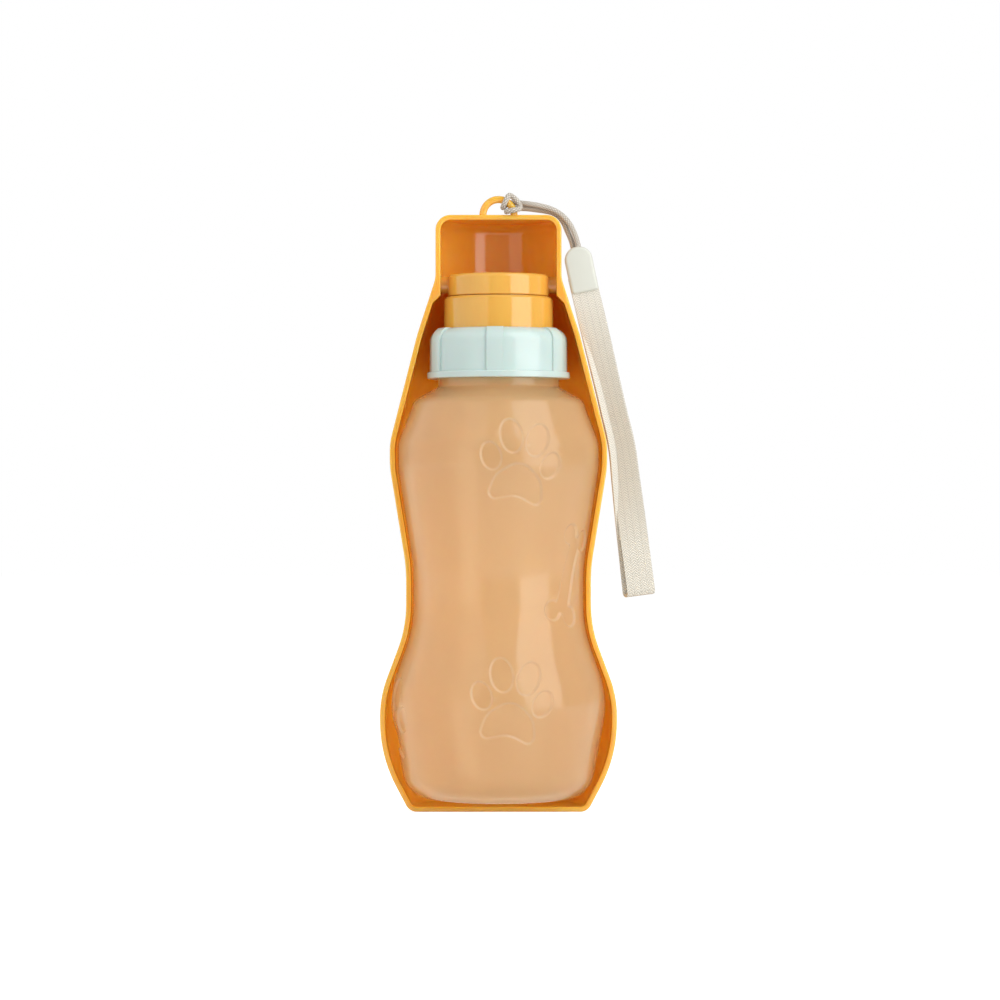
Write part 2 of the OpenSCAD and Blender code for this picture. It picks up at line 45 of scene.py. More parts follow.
# The camera stands where the photograph was taken from, 1.3 m before the trough's rim
cameraPlace = {"x": 0.54, "y": -1307.8, "z": 112.3, "lens": 130}
bpy.ops.object.select_all(action="DESELECT")
bpy.ops.object.camera_add(
    location=(cameraPlace["x"] * mm, cameraPlace["y"] * mm, cameraPlace["z"] * mm),
    rotation=(math.pi / 2, 0, 0))
camera = bpy.context.object
camera.name = "camera"
camera.data.lens = cameraPlace["lens"]
camera.data.sensor_width = 36
camera.data.clip_end = 20
bpy.context.scene.camera = camera
bpy.context.scene.view_settings.view_transform = "Standard"

# Sizes that several pieces share, the same as in the model
bottle = {
    "wall": 1.1, "neck": 22, "bore": 20.2, "lip": 169,
    "side": [(0, 4.3, 0), (33, 4.3, 10.5), (39.9, 41.5, 35), (31.1, 66.5, 45), (31.1, 88, 60),
             (36.6, 124, 30), (36.6, 133, 14), (30.6, 148.4, 5), (22, 153.2, 1)],
    "shoulderTop": 153.2, "columns": 132, "row": 1.6, "innerRow": 2.4,
    # heights between which the motifs may reach
    "plainBelow": 15, "plainAbove": 147,
}
trough = {
    "wall": 1.8, "front": 7.8, "top": 215, "inside": 20.9, "hinge": 190.1, "peg": 3.08,
    "side": [(0, 0, 0), (32, 0, 4.3), (42.7, 20, 50), (42.7, 41.5, 40), (33.3, 66.5, 45), (33.3, 88, 60),
             (39.15, 124, 40), (39.15, 133, 25), (29.3, 171.85, 60), (22.7, 192.1, 12), (22.7, 215, 5.4),
             (0, 215, 0)],
    "columns": 108, "row": 1.0, "frontRows": 8, "rimRound": 0.5,
    "padBelow": 4.1, "padAbove": 4, "padBack": 8,
    "gateWidth": 21, "gateLength": 14, "gateDeep": 0.5,
    "loopMiddle": 5.6, "loopThick": 2.6, "loopY": -6.2, "loopSunk": 0.9,
}
clip = {"top": (27.9, -4.6, 203.6), "tilt": 12, "width": 10, "thick": 5.2, "length": 16.8, "wall": 0.9}
cord = {
    "thick": 1.9, "sides": 16, "steps": 12,
    # from the middle of the hang loop: out of the clip, twice round the loop and back beside itself
    "route": [
        (29.2, 0.7, -13.2), (28.4, 0.7, -9.6), (27.3, 0.7, -6.4), (25.8, 0.7, -3.4), (23.8, 0.7, -0.9),
        (21.3, 0.7, 1.1), (18.3, 0.7, 2.5), (15, 0.8, 3.4), (11.8, 1.1, 4), (9, 1.8, 4.4), (6.4, 2.4, 4.6),
        (3.7, 2.5, 4.6), (2.1, 1.7, 3.2), (1.6, 0, 2.7), (1.9, -1.8, 3.4), (2.6, -2.5, 4.9),
        (3.4, -1.8, 6.5), (4.3, -0.3, 7), (6.4, -0.4, 5.4), (7.7, -0.3, 3.3), (7.4, -1.6, 2.1),
        (5.5, -2.6, 1.6), (3.7, -1.8, 1.3), (2.9, 0, 1.2), (3.5, 1.8, 1.6), (5.1, 2.5, 2.5),
        (7.6, 2.7, 2.6), (10.6, 2.8, 2.5), (13.8, 2.7, 2.1), (16.6, 2.7, 1.7), (19.2, 2.6, 1.1),
        (21.7, 2.6, -0.3), (23.5, 2.5, -2.6), (24.8, 2.5, -5.5), (25.9, 2.5, -8), (26.6, 2.5, -10),
        (27.4, 2.5, -13.5)],
}
strap = {
    "width": 10, "thick": 1.1, "gap": 1, "upper": 56.8, "lower": 53, "upperTilt": 13.4, "lowerTilt": 7.5,
    "twist": 28, "backDrift": 1.7, "tuckedIn": 6, "bend": 24, "across": 16, "step": 0.8,
}


# Makes the given pieces the only ones selected, the first of them active
def pickOnly(*pieces):
    if bpy.context.object and bpy.context.object.mode != "OBJECT":
        bpy.ops.object.mode_set(mode="OBJECT")
    bpy.ops.object.select_all(action="DESELECT")
    for piece in pieces:
        piece.select_set(True)
    if pieces:
        bpy.context.view_layer.objects.active = pieces[0]


def editAll(piece):
    pickOnly(piece)
    bpy.ops.object.mode_set(mode="EDIT")
    bpy.ops.mesh.select_all(action="SELECT")


def shapeWith(piece, kind, **settings):
    modifier = piece.modifiers.new(kind.title(), kind)
    for key, value in settings.items():
        setattr(modifier, key, value)
    pickOnly(piece)
    bpy.ops.object.modifier_apply(modifier=modifier.name)


def combine(piece, other, operation):
    shapeWith(piece, "BOOLEAN", object=other, operation=operation, solver="EXACT")
    bpy.data.objects.remove(other)


def smoothEdges(piece, angle=32):
    pickOnly(piece)
    bpy.ops.object.shade_smooth_by_angle(angle=math.radians(angle))


# Puts the piece's place and turn into its mesh
def settle(piece):
    pickOnly(piece)
    bpy.ops.object.transform_apply(location=True, rotation=True, scale=True)


def readPoints(piece):
    flat = np.empty(len(piece.data.vertices) * 3)
    piece.data.vertices.foreach_get("co", flat)
    return flat.reshape(-1, 3) / mm


def writePoints(piece, points):
    piece.data.vertices.foreach_set("co", (points * mm).ravel())
    piece.data.update()


# An outline is a list of (x, z, radius) corners
def roundCorner(before, corner, after, step):
    here = Vector(corner[:2])
    arriving = (here - Vector(before[:2])).normalized()
    leaving = (Vector(after[:2]) - here).normalized()
    bend = arriving.angle(leaving)
    if corner[2] <= 0 or bend < 0.002:
        return [here]
    side = 1 if arriving.cross(leaving) > 0 else -1
    start = here - arriving * corner[2] * math.tan(bend / 2)
    middle = start + Vector((-arriving.y, arriving.x)) * corner[2] * side
    count = math.ceil(math.degrees(bend) / step)
    return [middle + Matrix.Rotation(side * bend * i / count, 2) @ (start - middle) for i in range(count + 1)]


def roundOutline(corners, step=3, closed=False):
    ends = [] if closed else [Vector(corners[0][:2])]
    inner = range(len(corners)) if closed else range(1, len(corners) - 1)
    for i in inner:
        ends += roundCorner(corners[i - 1], corners[i], corners[(i + 1) % len(corners)], step)
    return ends if closed else ends + [Vector(corners[-1][:2])]


def insetOutline(corners, depth):
    edges = [(Vector(b[:2]) - Vector(a[:2])).normalized() for a, b in zip(corners, corners[1:])]
    moved = []
    for i, corner in enumerate(corners):
        before, after = edges[max(i - 1, 0)], edges[min(i, len(edges) - 1)]
        shift = (Vector((-before.y, before.x)) + Vector((-after.y, after.x))) / (1 + before.dot(after))
        side = 1 if before.cross(after) > 0 else -1
        place = Vector(corner[:2]) + shift * depth
        moved.append((place.x, place.y, max(0, corner[2] - depth * side)))
    return moved


# Splits long stretches of an outline, so that its rows lie evenly
def evenRows(points, longest):
    rows = [points[0]]
    for a, b in zip(points, points[1:]):
        count = max(1, math.ceil((b - a).length / longest))
        rows += [a.lerp(b, i / count) for i in range(1, count + 1)]
    return rows


# Draws an outline from one point, extruded from corner to corner
def drawOutline(name, points):
    pickOnly()
    bpy.ops.mesh.primitive_plane_add(size=mm)
    piece = bpy.context.object
    piece.name = name
    bpy.ops.object.mode_set(mode="EDIT")
    bpy.ops.mesh.merge(type="CENTER")
    bpy.ops.transform.translate(value=(points[0][0] * mm, 0, points[0][1] * mm))
    for a, b in zip(points, points[1:]):
        step = ((b[0] - a[0]) * mm, 0, (b[1] - a[1]) * mm)
        bpy.ops.mesh.extrude_region_move(TRANSFORM_OT_translate={"value": step})
    bpy.ops.object.mode_set(mode="OBJECT")
    return piece


def spinOutline(piece, columns, degrees=360):
    editAll(piece)
    bpy.ops.mesh.spin(steps=columns, angle=math.radians(degrees), center=(0, 0, 0), axis=(0, 0, 1))
    bpy.ops.mesh.select_all(action="SELECT")
    bpy.ops.mesh.remove_doubles(threshold=0.002 * mm)
    bpy.ops.mesh.normals_make_consistent(inside=False)
    bpy.ops.object.mode_set(mode="OBJECT")
    return piece


def dress(piece, body, slot, material, *nodes):
    piece.data.materials.clear()
    piece.data.materials.append(material)
    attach(piece, body)
    if nodes:
        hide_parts(*nodes)


# Colours are sRGB hex values
def hexColour(text):
    parts = [int(text[i:i + 2], 16) / 255 for i in (0, 2, 4)]
    return (*[p / 12.92 if p <= 0.04045 else ((p + 0.055) / 1.055) ** 2.4 for p in parts], 1)


def newMaterial(name, **settings):
    material = bpy.data.materials.new(name)
    material.use_nodes = True
    shader = material.node_tree.nodes["Principled BSDF"]
    for key, value in settings.items():
        shader.inputs[key.replace("_", " ")].default_value = value
    return material, shader


# Adds a node: text keys in settings that name no input are the node's own properties
def addNode(owner, kind, settings={}, links={}):
    node = owner.node_tree.nodes.new("ShaderNode" + kind)
    for key, value in settings.items():
        if isinstance(key, int) or key in node.inputs:
            node.inputs[key].default_value = value
        else:
            setattr(node, key, value)
    for key, socket in links.items():
        owner.node_tree.links.new(socket, node.inputs[key])
    return node


# Moulded plastic: small waves left by the mould's polish, and a faint unevenness of colour
def mouldPlastic(name, colour, deep, rough, grain=0.35, **settings):
    material, shader = newMaterial(name, Roughness=rough, **settings)
    place = addNode(material, "TexCoord")
    cloud = addNode(material, "TexNoise", {"Scale": 1 / (18 * mm), "Detail": 2.0},
                    {"Vector": place.outputs["Object"]})
    tint = addNode(material, "ValToRGB", links={0: cloud.outputs[0]})
    tint.color_ramp.elements[0].color = hexColour(deep)
    tint.color_ramp.elements[0].position = 0.3
    tint.color_ramp.elements[1].color = hexColour(colour)
    tint.color_ramp.elements[1].position = 0.7
    waves = addNode(material, "TexNoise", {"Scale": 1 / (grain * mm), "Detail": 2.0},
                    {"Vector": place.outputs["Object"]})
    bump = addNode(material, "Bump", {"Strength": 0.12, "Distance": 0.02 * mm}, {"Height": waves.outputs[0]})
    links = material.node_tree.links
    links.new(tint.outputs["Color"], shader.inputs["Base Color"])
    links.new(bump.outputs["Normal"], shader.inputs["Normal"])
    return material


# Points between route points on a smooth curve
def smoothRoute(route, steps):
    points = [Vector(p) for p in route]
    last = len(points) - 1
    smooth = []
    for i in range(last):
        a, b, c, d = points[max(i - 1, 0)], points[i], points[i + 1], points[min(i + 2, last)]
        for k in range(steps):
            t = k / steps
            smooth.append(0.5 * (2 * b + (c - a) * t + (2 * a - 5 * b + 4 * c - d) * t * t
                                 + (3 * b - a - 3 * c + d) * t ** 3))
    return smooth + [points[-1]]


# Sweeps a round tube along points, with its UV map in millimetres round and along
def sweepTube(name, points, radius, sides):
    mesh = bmesh.new()
    uvLayer = mesh.loops.layers.uv.new("along")
    across = Vector((0, 1, 0))
    rings = []
    reach = [0]
    for i, point in enumerate(points):
        heading = (points[min(i + 1, len(points) - 1)] - points[max(i - 1, 0)]).normalized()
        across = (across - heading * across.dot(heading)).normalized()
        up = heading.cross(across)
        ring = []
        for k in range(sides):
            turn = 2 * math.pi * k / sides
            ring.append(mesh.verts.new((point + radius * (across * math.cos(turn) + up * math.sin(turn))) * mm))
        rings.append(ring)
        if i:
            reach.append(reach[-1] + (point - points[i - 1]).length)
    girth = 2 * math.pi * radius
    for i in range(len(rings) - 1):
        for k in range(sides):
            n = (k + 1) % sides
            face = mesh.faces.new((rings[i][k], rings[i][n], rings[i + 1][n], rings[i + 1][k]))
            places = ((k, i), (k + 1, i), (k + 1, i + 1), (k, i + 1))
            for loop, (side, ring) in zip(face.loops, places):
                loop[uvLayer].uv = (girth * side / sides, reach[ring])
    mesh.faces.new(list(reversed(rings[0])))
    mesh.faces.new(rings[-1])
    data = bpy.data.meshes.new(name)
    mesh.to_mesh(data)
    mesh.free()
    data.polygons.foreach_set("use_smooth", [True] * len(data.polygons))
    piece = bpy.data.objects.new(name, data)
    bpy.context.scene.collection.objects.link(piece)
    return piece, reach[-1]


# Cord: 1.9 mm braided nylon, limp, both ends held in the end clip
# Two sets of yarns cross round it, a diamond every 1.2 mm, with grey shade in the gaps
nylonBraid, braidShader = newMaterial("nylonBraid", Roughness=0.75, Sheen_Weight=0.2)
braid = {"around": math.pi * cord["thick"] / 6, "along": 1.2}
braidUv = addNode(nylonBraid, "UVMap", {"uv_map": "along"})
braidPlace = addNode(nylonBraid, "SeparateXYZ", links={0: braidUv.outputs["UV"]})
roundTurns = addNode(nylonBraid, "Math", {"operation": "DIVIDE", 1: braid["around"]}, {0: braidPlace.outputs["X"]})
alongTurns = addNode(nylonBraid, "Math", {"operation": "DIVIDE", 1: braid["along"]}, {0: braidPlace.outputs["Y"]})
leftYarn = addNode(nylonBraid, "Math", {"operation": "ADD"}, {0: roundTurns.outputs[0], 1: alongTurns.outputs[0]})
rightYarn = addNode(nylonBraid, "Math", {"operation": "SUBTRACT"},
                    {0: roundTurns.outputs[0], 1: alongTurns.outputs[0]})
leftRidge = addNode(nylonBraid, "Math", {"operation": "PINGPONG", 1: 0.5}, {0: leftYarn.outputs[0]})
rightRidge = addNode(nylonBraid, "Math", {"operation": "PINGPONG", 1: 0.5}, {0: rightYarn.outputs[0]})
braidRaise = addNode(nylonBraid, "Math", {"operation": "MULTIPLY"},
                     {0: leftRidge.outputs[0], 1: rightRidge.outputs[0]})
braidTint = addNode(nylonBraid, "ValToRGB", links={0: braidRaise.outputs[0]})
braidTint.color_ramp.elements[0].color = hexColour("9c9284")
braidTint.color_ramp.elements[0].position = 0.01
braidTint.color_ramp.elements[1].color = hexColour("dcd5c9")
braidTint.color_ramp.elements[1].position = 0.11
braidBump = addNode(nylonBraid, "Bump", {"Strength": 0.9, "Distance": 0.5 * mm}, {"Height": braidRaise.outputs[0]})
nylonBraid.node_tree.links.new(braidTint.outputs["Color"], braidShader.inputs["Base Color"])
nylonBraid.node_tree.links.new(braidBump.outputs["Normal"], braidShader.inputs["Normal"])
loopCentre = Vector((0, trough["loopY"], trough["top"]))
cordPath = [loopCentre + p for p in smoothRoute(cord["route"], cord["steps"])]
lanyard, cordLength = sweepTube("lanyardCord", cordPath, cord["thick"] / 2, cord["sides"])
dress(lanyard, "trough_body", "cord_nylon", nylonBraid, "lanyard_cord")
print("cord length", round(cordLength, 1), "mm")

# Bottle: a spun outline with a real wall, its paw and bone motifs pressed in
paw = {
    "pad": [(0, 8.9, 6.5), (8.6, 2.2, 7), (10.6, -7.6, 2.4), (0, -3.9, 9), (-10.6, -7.6, 2.4), (-8.6, 2.2, 7)],
    # centre x and z, half width, half height, lean to the right
    "toes": [(-11.2, 8.3, 3.6, 5.0, -25), (-4.9, 16.4, 4.1, 6.0, -15),
             (4.9, 16.4, 4.1, 6.0, 15), (11.2, 8.3, 3.6, 5.0, 25)],
}
bone = {"reach": 14, "spread": 4.5, "knob": 3.6, "shaft": 3, "blend": 1.2, "flare": 0.0025}
press = {"deep": 0.7, "ramp": 0.9, "highlightWidth": 0.55, "refine": 1.3, "cuts": 4}
# angle from the front towards +X, height, lean to the right
motifs = [("paw", 11.1, 118, 9), ("paw", 5.8, 33.7, 8), ("bone", 53.5, 85.4, 15.4)]
motifs += [(kind, angle + 180, height, lean) for kind, angle, height, lean in motifs]
motifs += [("paw", -83, 27, 8)]


def toeDistance(x, z, toe):
    lean = math.radians(toe[4])
    a = ((x - toe[0]) * math.cos(lean) - (z - toe[1]) * math.sin(lean)) / toe[2]
    b = ((x - toe[0]) * math.sin(lean) + (z - toe[1]) * math.cos(lean)) / toe[3]
    k = np.hypot(a, b) + 1e-9
    return k * (k - 1) / (np.hypot(a / toe[2], b / toe[3]) + 1e-9)


def padDistance(x, z, outline):
    nearest = np.full(x.shape, 1e9)
    inside = np.zeros(x.shape, bool)
    for i, b in enumerate(outline):
        a = outline[i - 1]
        ex, ez = b.x - a.x, b.y - a.y
        t = np.clip(((x - a.x) * ex + (z - a.y) * ez) / (ex * ex + ez * ez), 0, 1)
        nearest = np.minimum(nearest, np.hypot(x - a.x - t * ex, z - a.y - t * ez))
        if ez:
            crosses = ((a.y > z) != (b.y > z)) & (x < ex * (z - a.y) / ez + a.x)
            inside ^= crosses
    return np.where(inside, -nearest, nearest)


def boneDistance(x, z):
    shape = np.maximum(np.abs(x) - bone["shaft"] - bone["flare"] * z * z, np.abs(z) - bone["reach"])
    for sideX in (-1, 1):
        for sideZ in (-1, 1):
            knob = np.hypot(x - sideX * bone["spread"], z - sideZ * bone["reach"]) - bone["knob"]
            h = np.clip(0.5 + 0.5 * (knob - shape) / bone["blend"], 0, 1)
            shape = knob * (1 - h) + shape * h - bone["blend"] * h * (1 - h)
    return shape


padOutline = roundOutline(paw["pad"], 12, closed=True)


# Distance in mm to the nearest motif's edge, below 0 inside it
def motifDistance(points, radius):
    angle = np.degrees(np.arctan2(points[:, 0], -points[:, 1]))
    nearest = np.full(len(points), 1e3)
    for kind, place, height, lean in motifs:
        x = ((angle - place + 180) % 360 - 180) * math.pi / 180 * radius
        z = points[:, 2] - height
        near = np.hypot(x, z) < 30
        turn = math.radians(lean)
        u = (x * math.cos(turn) - z * math.sin(turn))[near]
        v = (x * math.sin(turn) + z * math.cos(turn))[near]
        if kind == "paw":
            shape = padDistance(u, v, padOutline)
            for toe in paw["toes"]:
                shape = np.minimum(shape, toeDistance(u, v, toe))
        else:
            shape = boneDistance(u, v)
        nearest[near] = np.minimum(nearest[near], shape)
    return nearest


outside = roundOutline(bottle["side"] + [(bottle["neck"], bottle["lip"], 0.3), (bottle["bore"], bottle["lip"], 0)])
innerCorners = insetOutline(bottle["side"][:-1] + [(bottle["neck"], bottle["shoulderTop"], 0)], bottle["wall"])[:-1]
innerCorners += [(bottle["bore"], bottle["shoulderTop"] - bottle["wall"], 1), (bottle["bore"], bottle["lip"], 0)]
inside = roundOutline(innerCorners, 6)
rows = evenRows(outside, bottle["row"]) + evenRows(inside, bottle["innerRow"])[::-1][1:]
bottleBody = spinOutline(drawOutline("bottleBody", rows), bottle["columns"])

side = [p for p in outside if p.x > 30 and 5 < p.y < 149]
sideHeights = np.array([p.y for p in side])
sideRadii = np.array([p.x for p in side])
faceCentres = np.empty(len(bottleBody.data.polygons) * 3)
bottleBody.data.polygons.foreach_get("center", faceCentres)
faceCentres = faceCentres.reshape(-1, 3) / mm
faceRadius = np.interp(faceCentres[:, 2], sideHeights, sideRadii)
onOutside = np.hypot(faceCentres[:, 0], faceCentres[:, 1]) > faceRadius - bottle["wall"] / 2
onOutside &= (faceCentres[:, 2] > bottle["plainBelow"]) & (faceCentres[:, 2] < bottle["plainAbove"])
nearEdge = onOutside & (np.abs(motifDistance(faceCentres, faceRadius)) < press["refine"])
bottleBody.data.vertices.foreach_set("select", [False] * len(bottleBody.data.vertices))
bottleBody.data.edges.foreach_set("select", [False] * len(bottleBody.data.edges))
bottleBody.data.polygons.foreach_set("select", nearEdge)
pickOnly(bottleBody)
bpy.ops.object.mode_set(mode="EDIT")
bpy.ops.mesh.select_mode(type="FACE")
bpy.ops.mesh.subdivide(number_cuts=press["cuts"])
bpy.ops.mesh.select_mode(type="VERT")
bpy.ops.object.mode_set(mode="OBJECT")

points = readPoints(bottleBody)
radius = np.interp(points[:, 2], sideHeights, sideRadii)
outer = np.hypot(points[:, 0], points[:, 1]) > radius - bottle["wall"] / 2
outer &= (points[:, 2] > bottle["plainBelow"]) & (points[:, 2] < bottle["plainAbove"])
fade = np.clip(0.5 - motifDistance(points, radius) / press["ramp"], 0, 1)
sunk = radius - press["deep"] * fade * fade * (3 - 2 * fade)
scaleBy = np.where(outer, sunk / np.maximum(np.hypot(points[:, 0], points[:, 1]), 1e-6), 1)
points[:, :2] *= scaleBy[:, None]
writePoints(bottleBody, points)
smoothEdges(bottleBody, 50)
# Painted highlight: 1 on the motifs' edges, where a paler colour is painted to stand for the light that the pressed
# edges catch
edgeHighlightAmount = np.where(outer, np.clip(1.2 - np.abs(motifDistance(points, radius)) / press["highlightWidth"], 0, 1), 0)
paintedEdgeHighlight = bottleBody.data.attributes.new("paintedEdgeHighlight", "FLOAT", "POINT")
paintedEdgeHighlight.data.foreach_set("value", edgeHighlightAmount.astype(np.float32))

# Blow-moulded LDPE, frosted by the mould: a milky wall that lets half of what stands behind it
# through, blurs the rest, and has a satin skin with the softboxes in it; its warm yellow base colour is painted glow
# from the orange trough behind
frostedLdpe, frostShader = newMaterial(
    "frostedLdpe", Roughness=0.35, IOR=1.08, Transmission_Weight=0.6, Alpha=0.5,
    Coat_Weight=1.0, Coat_IOR=1.5, Coat_Roughness=0.1)
# this attribute paints a paler highlight colour along the motifs' edges
edgeHighlightReader = addNode(frostedLdpe, "Attribute", {"attribute_name": "paintedEdgeHighlight"})
bottleColourAndHighlight = addNode(frostedLdpe, "ValToRGB", links={0: edgeHighlightReader.outputs["Fac"]})
# f8dfae is painted glow: the milky wall's own colour warmed to stand for the orange trough's light coming through
bottleColourAndHighlight.color_ramp.elements[0].color = hexColour("f8dfae")
bottleColourAndHighlight.color_ramp.elements[1].color = hexColour("fff3cf")
frostedLdpe.node_tree.links.new(bottleColourAndHighlight.outputs["Color"], frostShader.inputs["Base Color"])
frostPlace = addNode(frostedLdpe, "TexCoord")
# the mould's fine blasting, drawn at 0.5 mm so that it shows
frostGrain = addNode(frostedLdpe, "TexNoise", {"Scale": 1 / (0.5 * mm), "Detail": 3.0},
                     {"Vector": frostPlace.outputs["Object"]})
frostBump = addNode(frostedLdpe, "Bump", {"Strength": 0.1, "Distance": 0.02 * mm}, {"Height": frostGrain.outputs[0]})
frostedLdpe.node_tree.links.new(frostBump.outputs["Normal"], frostShader.inputs["Normal"])
dress(bottleBody, "bottle_body", "frosted_ldpe", frostedLdpe, "bottle")
print("bottle done:", len(bottleBody.data.polygons), "faces")

# Trough: half a spun outline behind the hinge line, drawn forward to the rim and given its wall
shellRows = evenRows(roundOutline(trough["side"]), trough["row"])
shell = spinOutline(drawOutline("troughShell", shellRows), trough["columns"], -180)
editAll(shell)
bpy.ops.mesh.select_all(action="DESELECT")
bpy.ops.mesh.select_non_manifold(extend=False, use_wire=False, use_boundary=True, use_multi_face=False,
                                 use_non_contiguous=False, use_verts=False)
for step in range(trough["frontRows"]):
    bpy.ops.mesh.extrude_region_move(
        TRANSFORM_OT_translate={"value": (0, -trough["front"] / trough["frontRows"] * mm, 0)})
bpy.ops.mesh.select_all(action="SELECT")
bpy.ops.mesh.normals_make_consistent(inside=False)
bpy.ops.object.mode_set(mode="OBJECT")
rearmost = max(shell.data.polygons, key=lambda face: face.center.y)
if rearmost.normal.y < 0:
    editAll(shell)
    bpy.ops.mesh.flip_normals()
    bpy.ops.object.mode_set(mode="OBJECT")
outerCount = len(shell.data.vertices)
shapeWith(shell, "SOLIDIFY", thickness=trough["wall"] * mm, offset=-1, use_even_offset=True)

# ear pads keep the inner faces straight down past the hinge holes
points = readPoints(shell)
padFoot = trough["hinge"] - trough["padBelow"]
padFace = trough["inside"] + np.maximum(0, padFoot - points[:, 2])
onPad = (np.arange(len(points)) >= outerCount) & (points[:, 2] < trough["hinge"] + trough["padAbove"])
onPad &= (points[:, 2] > padFoot - 3) & (points[:, 1] < trough["padBack"])
points[:, 0] = np.where(onPad, np.sign(points[:, 0]) * np.minimum(np.abs(points[:, 0]), padFace), points[:, 0])
writePoints(shell, points)

# rounded rim
pickOnly(shell)
bpy.ops.object.mode_set(mode="EDIT")
bpy.ops.mesh.select_mode(type="EDGE")
rimMesh = bmesh.from_edit_mesh(shell.data)
for edge in rimMesh.edges:
    onRim = all(abs(v.co.y / mm + trough["front"]) < 0.01 for v in edge.verts)
    sharp = len(edge.link_faces) == 2 and edge.calc_face_angle(0) > 1
    edge.select_set(onRim and sharp)
bmesh.update_edit_mesh(shell.data)
bpy.ops.mesh.bevel(offset=trough["rimRound"] * mm, segments=3, affect="EDGES")
bpy.ops.mesh.select_mode(type="VERT")

# hinge holes, moulding gate's recess and hang loop
pickOnly()
bpy.ops.mesh.primitive_cylinder_add(vertices=64, radius=trough["peg"] * mm, depth=60 * mm,
                                    location=(0, 0, trough["hinge"] * mm), rotation=(0, math.pi / 2, 0))
combine(shell, bpy.context.object, "DIFFERENCE")
pickOnly()
bpy.ops.mesh.primitive_cube_add(size=1, location=(0, trough["gateLength"] / 2 * mm,
                                                  (trough["wall"] - trough["gateDeep"] + 0.5) * mm),
                                scale=(trough["gateWidth"] * mm, trough["gateLength"] * mm, mm))
combine(shell, bpy.context.object, "DIFFERENCE")
pickOnly()
bpy.ops.mesh.primitive_torus_add(major_segments=96, minor_segments=32, major_radius=trough["loopMiddle"] * mm,
                                 minor_radius=trough["loopThick"] / 2 * mm, rotation=(math.pi / 2, 0, 0),
                                 location=(0, trough["loopY"] * mm, trough["top"] * mm))
ring = bpy.context.object
settle(ring)
editAll(ring)
bpy.ops.mesh.bisect(plane_co=(0, 0, (trough["top"] - trough["loopSunk"]) * mm), plane_no=(0, 0, 1),
                    clear_inner=True, use_fill=True)
pickOnly(ring)
combine(shell, ring, "UNION")
smoothEdges(shell, 32)

# Injection-moulded polypropylene, glossy, slightly translucent at its edges
orangePolypropylene = mouldPlastic("orangePolypropylene", "fab84c", "f7b044", 0.1, IOR=1.49,
                                   Subsurface_Weight=1.0, Subsurface_Radius=(1.0, 0.7, 0.25), Subsurface_Scale=0.004)
dress(shell, "trough_body", "orange_pp", orangePolypropylene, "trough")
print("trough done:", len(shell.data.polygons), "faces")

# End clip: a domed block round the cord's ends, with a slot for the webbing
pickOnly()
bpy.ops.mesh.primitive_cube_add(size=1, location=(0, 0, -clip["length"] / 2 * mm),
                                scale=(clip["width"] * mm, clip["thick"] * mm, clip["length"] * mm))
endClip = bpy.context.object
endClip.name = "endClip"
settle(endClip)
pickOnly(endClip)
bpy.ops.object.mode_set(mode="EDIT")
bpy.ops.mesh.select_mode(type="EDGE")
clipMesh = bmesh.from_edit_mesh(endClip.data)
for edge in clipMesh.edges:
    edge.select_set(all(v.co.z > -1e-6 for v in edge.verts) and abs(edge.verts[0].co.x - edge.verts[1].co.x) < 1e-6)
bmesh.update_edit_mesh(endClip.data)
bpy.ops.mesh.bevel(offset=(clip["width"] / 2 - 0.2) * mm, segments=14, affect="EDGES")
clipMesh = bmesh.from_edit_mesh(endClip.data)
for edge in clipMesh.edges:
    edge.select_set(len(edge.link_faces) == 2 and edge.calc_face_angle(0) > 0.9)
bmesh.update_edit_mesh(endClip.data)
bpy.ops.mesh.bevel(offset=1.2 * mm, segments=5, affect="EDGES")
bpy.ops.mesh.select_mode(type="VERT")
pickOnly()
bpy.ops.mesh.primitive_cube_add(size=1, location=(0, 0, -(clip["length"] - 3.5) * mm),
                                scale=((clip["width"] - 2 * clip["wall"]) * mm, 3.6 * mm, 9 * mm))
combine(endClip, bpy.context.object, "DIFFERENCE")
clipTurn = Matrix.Rotation(-math.radians(clip["tilt"]), 4, "Y")
endClip.matrix_world = Matrix.Translation(Vector(clip["top"]) * mm) @ clipTurn
settle(endClip)
smoothEdges(endClip, 40)
# Injection-moulded ABS, light grey with a fine matt texture that softens every highlight
lightAbs = mouldPlastic("lightAbs", "d6d7cc", "d0d1c5", 0.42, IOR=1.53)
dress(endClip, "trough_body", "clip_abs", lightAbs, "cord_clip")


# Wrist strap: one flat length of webbing, folded into a loop and stitched into the clip
def wayDown(tilt):
    return Vector((math.sin(math.radians(tilt)), 0, -math.cos(math.radians(tilt))))


clipFoot = Vector(clip["top"]) + clip["length"] * wayDown(clip["tilt"])
upperWay = wayDown(strap["upperTilt"])
lowerWay = wayDown(strap["lowerTilt"])
knee = clipFoot + upperWay * strap["upper"]
fold = knee + lowerWay * strap["lower"]
layer = strap["gap"] / 2 + strap["thick"] / 2
straightLength = strap["upper"] + strap["lower"]
foldLength = math.pi * layer
strapLength = 2 * (straightLength + strap["tuckedIn"]) + foldLength


